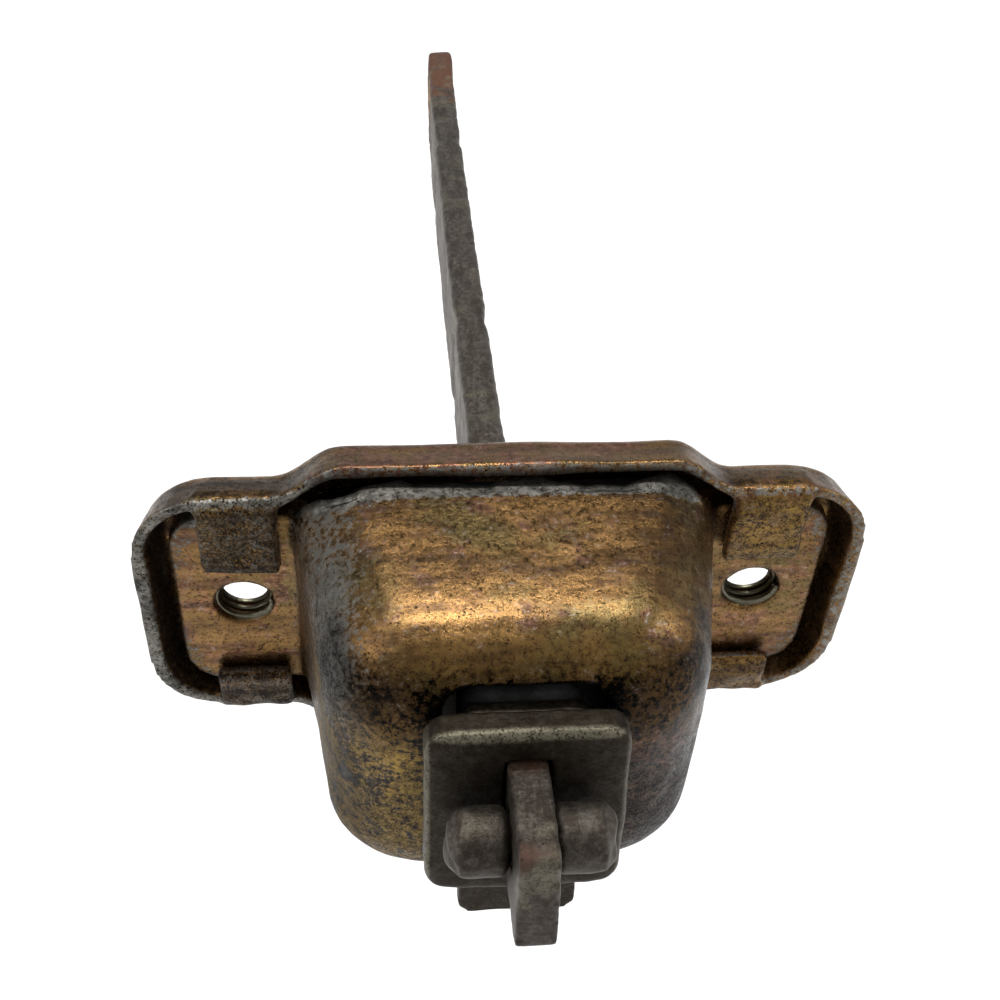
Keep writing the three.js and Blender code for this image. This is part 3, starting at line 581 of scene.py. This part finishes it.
def dressed(name, node, material, body, edge, segments=2, angle=28):
    """A stamped or turned part: its own shape, with every sharp edge broken and the rest shaded smooth."""
    made = merged_copy(node)
    bmesh.ops.dissolve_limit(made, angle_limit=math.radians(0.5), verts=made.verts, edges=made.edges)
    limit = math.radians(angle)
    sharp = [e for e in made.edges if e.is_manifold and e.calc_face_angle() > limit]
    bmesh.ops.bevel(
        made,
        geom=sharp,
        offset=edge,
        offset_type="OFFSET",
        segments=segments,
        profile=0.5,
        affect="EDGES",
        material=-1,
        clamp_overlap=True,
    )
    bmesh.ops.triangulate(made, faces=[f for f in made.faces if len(f.verts) > 4])
    piece = as_piece(name, made, material, body, [node])
    weighted = piece.modifiers.new("Edges", "WEIGHTED_NORMAL")
    weighted.keep_sharp = True
    return piece


# ----------------------------------------------------------------------------------------------------------
# Pieces
# ----------------------------------------------------------------------------------------------------------


class DOORCHECK_OT_housing(bpy.types.Operator):
    """Builds the drawn housing with its wavy rear edge, and the thread in each ear"""

    bl_idname = "doorcheck.housing"
    bl_label = "Housing"

    def execute(self, context):
        sheet = context.scene.door_check.sheet
        zinc = housing_zinc()
        crest = oiled_steel("rubbed_thread", settings().finish.rubbed)
        made = merged_copy("housing")
        self.open_holes(made)
        made = reskinned(made, sheet.grain, sheet.rounds)
        dented(made, sheet.dent, 9 * MM, seed=3)
        dented(made, sheet.dent * 0.35, 2.6 * MM, seed=8)
        self.wave_rear_edge(made, sheet.wave)
        self.keep_in_box(made)
        as_piece("housing_shell", made, zinc, "base", ["housing"])
        for side, sign in HOLE_SIDES:
            as_piece(f"{side}_thread", self.thread(sign), crest, "base", [])
        return {"FINISHED"}

    def open_holes(self, made):
        """Widens each hole to the root of its thread, so that the ridge can be set in it."""
        root = settings().thread.root - 0.06 * MM
        for point in made.verts:
            for _, side in HOLE_SIDES:
                away = Vector((point.co.x - side * BOLT_X, 0, point.co.z))
                if away.length < root * 1.1:
                    away.length = max(away.length, root)
                    point.co.x, point.co.z = side * BOLT_X + away.x, away.z

    def wave_rear_edge(self, made, wave):
        rear = EAR_FRONT + 3.2 * MM
        for point in made.verts:
            tall = smoothstep(abs(point.co.z), 14.5 * MM, 17 * MM)
            share = tall * smoothstep(-point.co.y, rear, rear - 2.6 * MM)
            if share > 0:
                drift = noise.noise(Vector((point.co.x / (5.5 * MM), point.co.z / (30 * MM), 4.2)))
                fine = noise.noise(Vector((point.co.x / (1.7 * MM), 0, 9.1)))
                point.co.y += wave * share * (drift * 2.8 + fine * 0.6 - 1.5)
                point.co.z += wave * share * drift * 0.35
        made.normal_update()

    def keep_in_box(self, made):
        for point in made.verts:
            for axis in range(3):
                point.co[axis] = min(max(point.co[axis], HOUSING_LOW[axis]), HOUSING_HIGH[axis])

    def thread(self, side):
        """One ridge of triangular section, wound up the hole."""
        thread = settings().thread
        ridge = bmesh.new()
        half = thread.pitch * 0.44
        start = -(EAR_FRONT - thread.pitch * 0.1)
        corners = [(thread.root, start), (thread.crest, start + half), (thread.root, start + 2 * half)]
        points = [ridge.verts.new((side * BOLT_X + radius, y, 0)) for radius, y in corners]
        for first, second in ((0, 1), (1, 2), (2, 0)):
            ridge.edges.new((points[first], points[second]))
        count = round(thread.turns * THREAD_STEPS)
        bmesh.ops.spin(
            ridge,
            geom=ridge.verts[:] + ridge.edges[:],
            cent=(side * BOLT_X, 0, 0),
            axis=(0, 1, 0),
            dvec=(0, thread.pitch / THREAD_STEPS, 0),
            angle=math.radians(360) * count / THREAD_STEPS,
            steps=count,
        )
        open_edges = [edge for edge in ridge.edges if edge.is_boundary]
        bmesh.ops.holes_fill(ridge, edges=open_edges)
        bmesh.ops.recalc_face_normals(ridge, faces=ridge.faces)
        back = -EAR_BACK - 0.05 * MM
        for point in ridge.verts:
            point.co.y = min(point.co.y, back)
        return ridge


class DOORCHECK_OT_mounting_plate(bpy.types.Operator):
    """Builds the rimmed plate with its four folded tabs"""

    bl_idname = "doorcheck.mounting_plate"
    bl_label = "Mounting plate"

    def execute(self, context):
        sheet = context.scene.door_check.sheet
        made = reskinned(merged_copy("mounting_plate"), sheet.grain * 0.9, sheet.rounds - 1)
        dented(made, sheet.dent, 8 * MM, seed=21)
        dented(made, sheet.crumple, 2.4 * MM, self.on_tabs, seed=5)
        dented(made, sheet.dent * 0.8, 4 * MM, lambda place: smoothstep(-place.y, 3 * MM, 5 * MM), seed=14)
        for point in made.verts:
            point.co.y = min(point.co.y, 0.0)
            point.co.x = min(max(point.co.x, PLATE_LOW.x), PLATE_HIGH.x)
            point.co.z = min(max(point.co.z, PLATE_LOW.z), PLATE_HIGH.z)
        as_piece("rimmed_plate", made, plate_zinc(), "base", ["mounting_plate"])
        return {"FINISHED"}

    def on_tabs(self, place):
        """1 on the outer faces of the folded tabs, and 0 where the sheet is near the ears."""
        return smoothstep(-place.y, EAR_FRONT + 0.9 * MM, EAR_FRONT + 1.6 * MM)


class DOORCHECK_OT_arm(bpy.types.Operator):
    """Builds the flat arm, pitted along its length, and the bush in its eye"""

    bl_idname = "doorcheck.arm"
    bl_label = "Arm"

    def execute(self, context):
        arm = context.scene.door_check.arm
        made = reskinned(merged_copy("check_arm"), arm.grain, 2)
        dented(made, arm.pits, 1.6 * MM, seed=33)
        dented(made, arm.pits * 1.6, 7 * MM, seed=41)
        as_piece("pitted_arm", made, arm_steel(), "arm", ["check_arm"])
        bronze = oiled_steel("sintered_bronze", (0.5, 0.33, 0.14))
        dressed("turned_eye_bush", "eye_bush", bronze, "arm", 0.2 * MM, 3)
        return {"FINISHED"}


class DOORCHECK_OT_stop(bpy.types.Operator):
    """Builds the stop plate, the cross pin with its heads, the tongued plate and the rubber buffer"""

    bl_idname = "doorcheck.stop"
    bl_label = "Stop end"

    def execute(self, context):
        arm = context.scene.door_check.arm
        grain = arm.grain * 0.62
        steel = stop_steel()
        plate = reskinned(merged_copy("stop_plate"), grain, 3)
        dented(plate, arm.pits * 1.5, 5 * MM, seed=51)
        dented(plate, arm.pits * 0.8, 1.4 * MM, seed=52)
        as_piece("stop_washer", plate, steel, "arm", ["stop_plate"])
        tongue = reskinned(merged_copy("buffer_carrier"), grain, 2)
        dented(tongue, arm.pits, 2 * MM, seed=57)
        as_piece("tongued_plate", tongue, steel, "arm", ["buffer_carrier"])
        pin = reskinned(merged_copy("cross_pin"), grain * 0.9, 3)
        self.hammer(pin, arm.hammered)
        as_piece("hammered_pin", pin, pin_steel(), "arm", ["cross_pin"])
        rubber = reskinned(merged_copy("rubber_buffer"), arm.grain, 3)
        dented(rubber, arm.pits * 0.6, 3 * MM, seed=61)
        black = moulded("black_rubber", (0.005, 0.0045, 0.004), 0.9, 0.04)
        as_piece("moulded_buffer", rubber, black, "arm", ["rubber_buffer"])
        return {"FINISHED"}

    def hammer(self, pin, uneven):
        """Each head is mushroomed at its end, and the left one has a notch across its middle."""
        middle = (PIN_LOW + PIN_HIGH) / 2
        reach = PIN_HIGH.x
        radius = (PIN_HIGH.z - PIN_LOW.z) / 2
        for point in pin.verts:
            place = point.co
            outward = smoothstep(abs(place.x), reach * 0.45, reach)
            lumps = noise.noise(place / (2.2 * MM) + Vector((7, 0, 3)))
            away = Vector((0, place.y - middle.y, place.z - middle.z))
            if away.length > 0.2 * MM:
                place += away.normalized() * uneven * outward * (lumps * 0.75 - 0.1)
            place.x += math.copysign(uneven, place.x) * outward * (lumps * 0.7 - 0.35)
            if place.x < 0:
                notch = math.exp(-(((place.z - middle.z) / (0.22 * radius)) ** 2))
                place.x += uneven * 1.1 * notch * smoothstep(-place.x, reach * 0.75, reach)
            else:
                low = smoothstep(middle.z - place.z, -0.1 * radius, 0.8 * radius)
                place.x += uneven * 0.5 * low * outward
        for point in pin.verts:
            point.co.x = min(max(point.co.x, PIN_LOW.x), PIN_HIGH.x)
        pin.normal_update()


class DOORCHECK_OT_cage(bpy.types.Operator):
    """Builds the roller cage: frame, lid, guides and pivot bushes, and the seal behind them"""

    bl_idname = "doorcheck.cage"
    bl_label = "Roller cage"

    def execute(self, context):
        steel = oiled_steel("cage_steel", settings().finish.oiled)
        acetal = moulded("greased_acetal", (0.03, 0.026, 0.02), 0.42, 0.012)
        black = moulded("seal_rubber", (0.024, 0.023, 0.022), 0.7, 0.03)
        dressed("folded_cage_frame", "cage_frame", steel, "cage", 0.25 * MM)
        dressed("flat_cage_lid", "cage_lid", steel, "cage", 0.2 * MM)
        for place in ("front", "rear"):
            dressed(f"{place}_guide_block", f"{place}_arm_guide", acetal, "cage", 0.15 * MM)
        for side, _ in HOLE_SIDES:
            dressed(f"{side}_bush_ring", f"{side}_pivot_bush", acetal, "base", 0.12 * MM)
        dressed("seal_sheet", "seal_plate", black, "base", 0.3 * MM, 3)
        return {"FINISHED"}


class DOORCHECK_OT_rollers(bpy.types.Operator):
    """Builds the two rollers with their axles, forks and springs"""

    bl_idname = "doorcheck.rollers"
    bl_label = "Rollers"

    def execute(self, context):
        oiled = settings().finish.oiled
        ground = oiled_steel("ground_steel", tuple(channel * 1.15 for channel in oiled))
        stamped = oiled_steel("fork_steel", tuple(channel * 0.85 for channel in oiled))
        wire = oiled_steel("spring_wire", tuple(channel * 0.55 for channel in oiled))
        for side, _ in HOLE_SIDES:
            fork = f"{side}_fork"
            body = f"{side}_roller_body"
            dressed(f"{side}_ground_roller", f"{side}_roller", ground, body, 0.12 * MM)
            dressed(f"{side}_axle_pin", f"{side}_roller_axle", ground, fork, 0.15 * MM)
            dressed(f"{side}_stamped_fork", f"{side}_roller_fork", stamped, fork, 0.15 * MM)
            dressed(f"{side}_coil", f"{side}_spring", wire, "cage", 0.05 * MM, angle=60)
        return {"FINISHED"}


class DOORCHECK_OT_stage(bpy.types.Operator):
    """Sets the camera, the pale floor and the soft lights"""

    bl_idname = "doorcheck.stage"
    bl_label = "Stage"

    def execute(self, context):
        stage = context.scene.door_check.stage
        self.camera(context, stage)
        self.floor(context, stage)
        middle = (HOUSING_LOW + HOUSING_HIGH) / 2
        self.light(context, "key", (-0.03, 0.2, 0.61), middle, (0.34, 0.05), stage.key)
        self.light(context, "left_fill", (-0.62, -0.12, 0.42), middle, (0.4, 0.4), stage.fill)
        self.light(context, "right_fill", (0.62, -0.05, 0.4), middle, (0.4, 0.4), stage.fill)
        world = bpy.data.worlds.new("studio")
        world.use_nodes = True
        background = world.node_tree.nodes["Background"]
        background.inputs["Color"].default_value = (1, 1, 1, 1)
        background.inputs["Strength"].default_value = stage.sky
        context.scene.world = world
        context.scene.view_settings.view_transform = "Standard"
        return {"FINISHED"}

    def camera(self, context, stage):
        """Looks down on the nose of the housing, a little from its left, with the arm running away."""
        pitch, yaw, roll = (math.radians(angle) for angle in (46.12, 6.84, 3.63))
        data = bpy.data.cameras.new("camera")
        data.lens = stage.lens
        data.sensor_width = 36
        data.clip_start, data.clip_end = 0.01, 20
        camera = bpy.data.objects.new("camera", data)
        context.scene.collection.objects.link(camera)
        turn = Matrix.Rotation(-yaw, 3, "Z") @ Matrix.Rotation(math.pi / 2 - pitch, 3, "X")
        turn = turn @ Matrix.Rotation(roll, 3, "Z")
        camera.rotation_euler = turn.to_euler()
        camera.location = Vector((-13.2, -108.65, 124.11)) * MM
        context.scene.camera = camera

    def floor(self, context, stage):
        """A wide pale sheet that the part floats a little above."""
        sheet = bmesh.new()
        bmesh.ops.create_grid(sheet, x_segments=1, y_segments=1, size=6)
        bmesh.ops.translate(sheet, verts=sheet.verts, vec=(0, 0, CAD_BOX[0].z - stage.floor_drop))
        mesh = bpy.data.meshes.new("floor")
        sheet.to_mesh(mesh)
        sheet.free()
        paper = bpy.data.materials.new("white_paper")
        paper.use_nodes = True
        shader = paper.node_tree.nodes["Principled BSDF"]
        shader.inputs["Base Color"].default_value = (0.93, 0.93, 0.93, 1)
        shader.inputs["Roughness"].default_value = 0.9
        mesh.materials.append(paper)
        floor = bpy.data.objects.new("floor", mesh)
        context.scene.collection.objects.link(floor)

    def light(self, context, name, place, target, size, power):
        data = bpy.data.lights.new(name, "AREA")
        data.shape = "RECTANGLE"
        data.size, data.size_y = size
        data.energy = power
        lamp = bpy.data.objects.new(name, data)
        context.scene.collection.objects.link(lamp)
        lamp.location = place
        lamp.rotation_euler = (target - Vector(place)).to_track_quat("-Z", "Y").to_euler()


class DOORCHECK_PT_panel(bpy.types.Panel):
    """The steps that build the door check, and its settings"""

    bl_idname = "DOORCHECK_PT_panel"
    bl_label = "Door Check"
    bl_space_type = "VIEW_3D"
    bl_region_type = "UI"
    bl_category = "Door Check"

    def draw(self, context):
        for step in STEPS:
            self.layout.operator(step.bl_idname)
        groups = context.scene.door_check
        for group in (groups.sheet, groups.thread, groups.arm, groups.finish, groups.stage):
            box = self.layout.box()
            for name in group.__annotations__:
                box.prop(group, name)


STEPS = (
    DOORCHECK_OT_mounting_plate,
    DOORCHECK_OT_housing,
    DOORCHECK_OT_cage,
    DOORCHECK_OT_rollers,
    DOORCHECK_OT_arm,
    DOORCHECK_OT_stop,
    DOORCHECK_OT_stage,
)
GROUPS = (SheetSettings, ThreadSettings, ArmSettings, FinishSettings, StageSettings, DoorCheckSettings)


def register():
    for made in (*GROUPS, *STEPS, DOORCHECK_PT_panel):
        bpy.utils.register_class(made)
    bpy.types.Scene.door_check = bpy.props.PointerProperty(type=DoorCheckSettings)


def unregister():
    del bpy.types.Scene.door_check
    for made in reversed((*GROUPS, *STEPS, DOORCHECK_PT_panel)):
        bpy.utils.unregister_class(made)


def main():
    register()
    for step in STEPS:
        group, name = step.bl_idname.split(".")
        getattr(getattr(bpy.ops, group), name)()


if __name__ == "__main__":
    main()
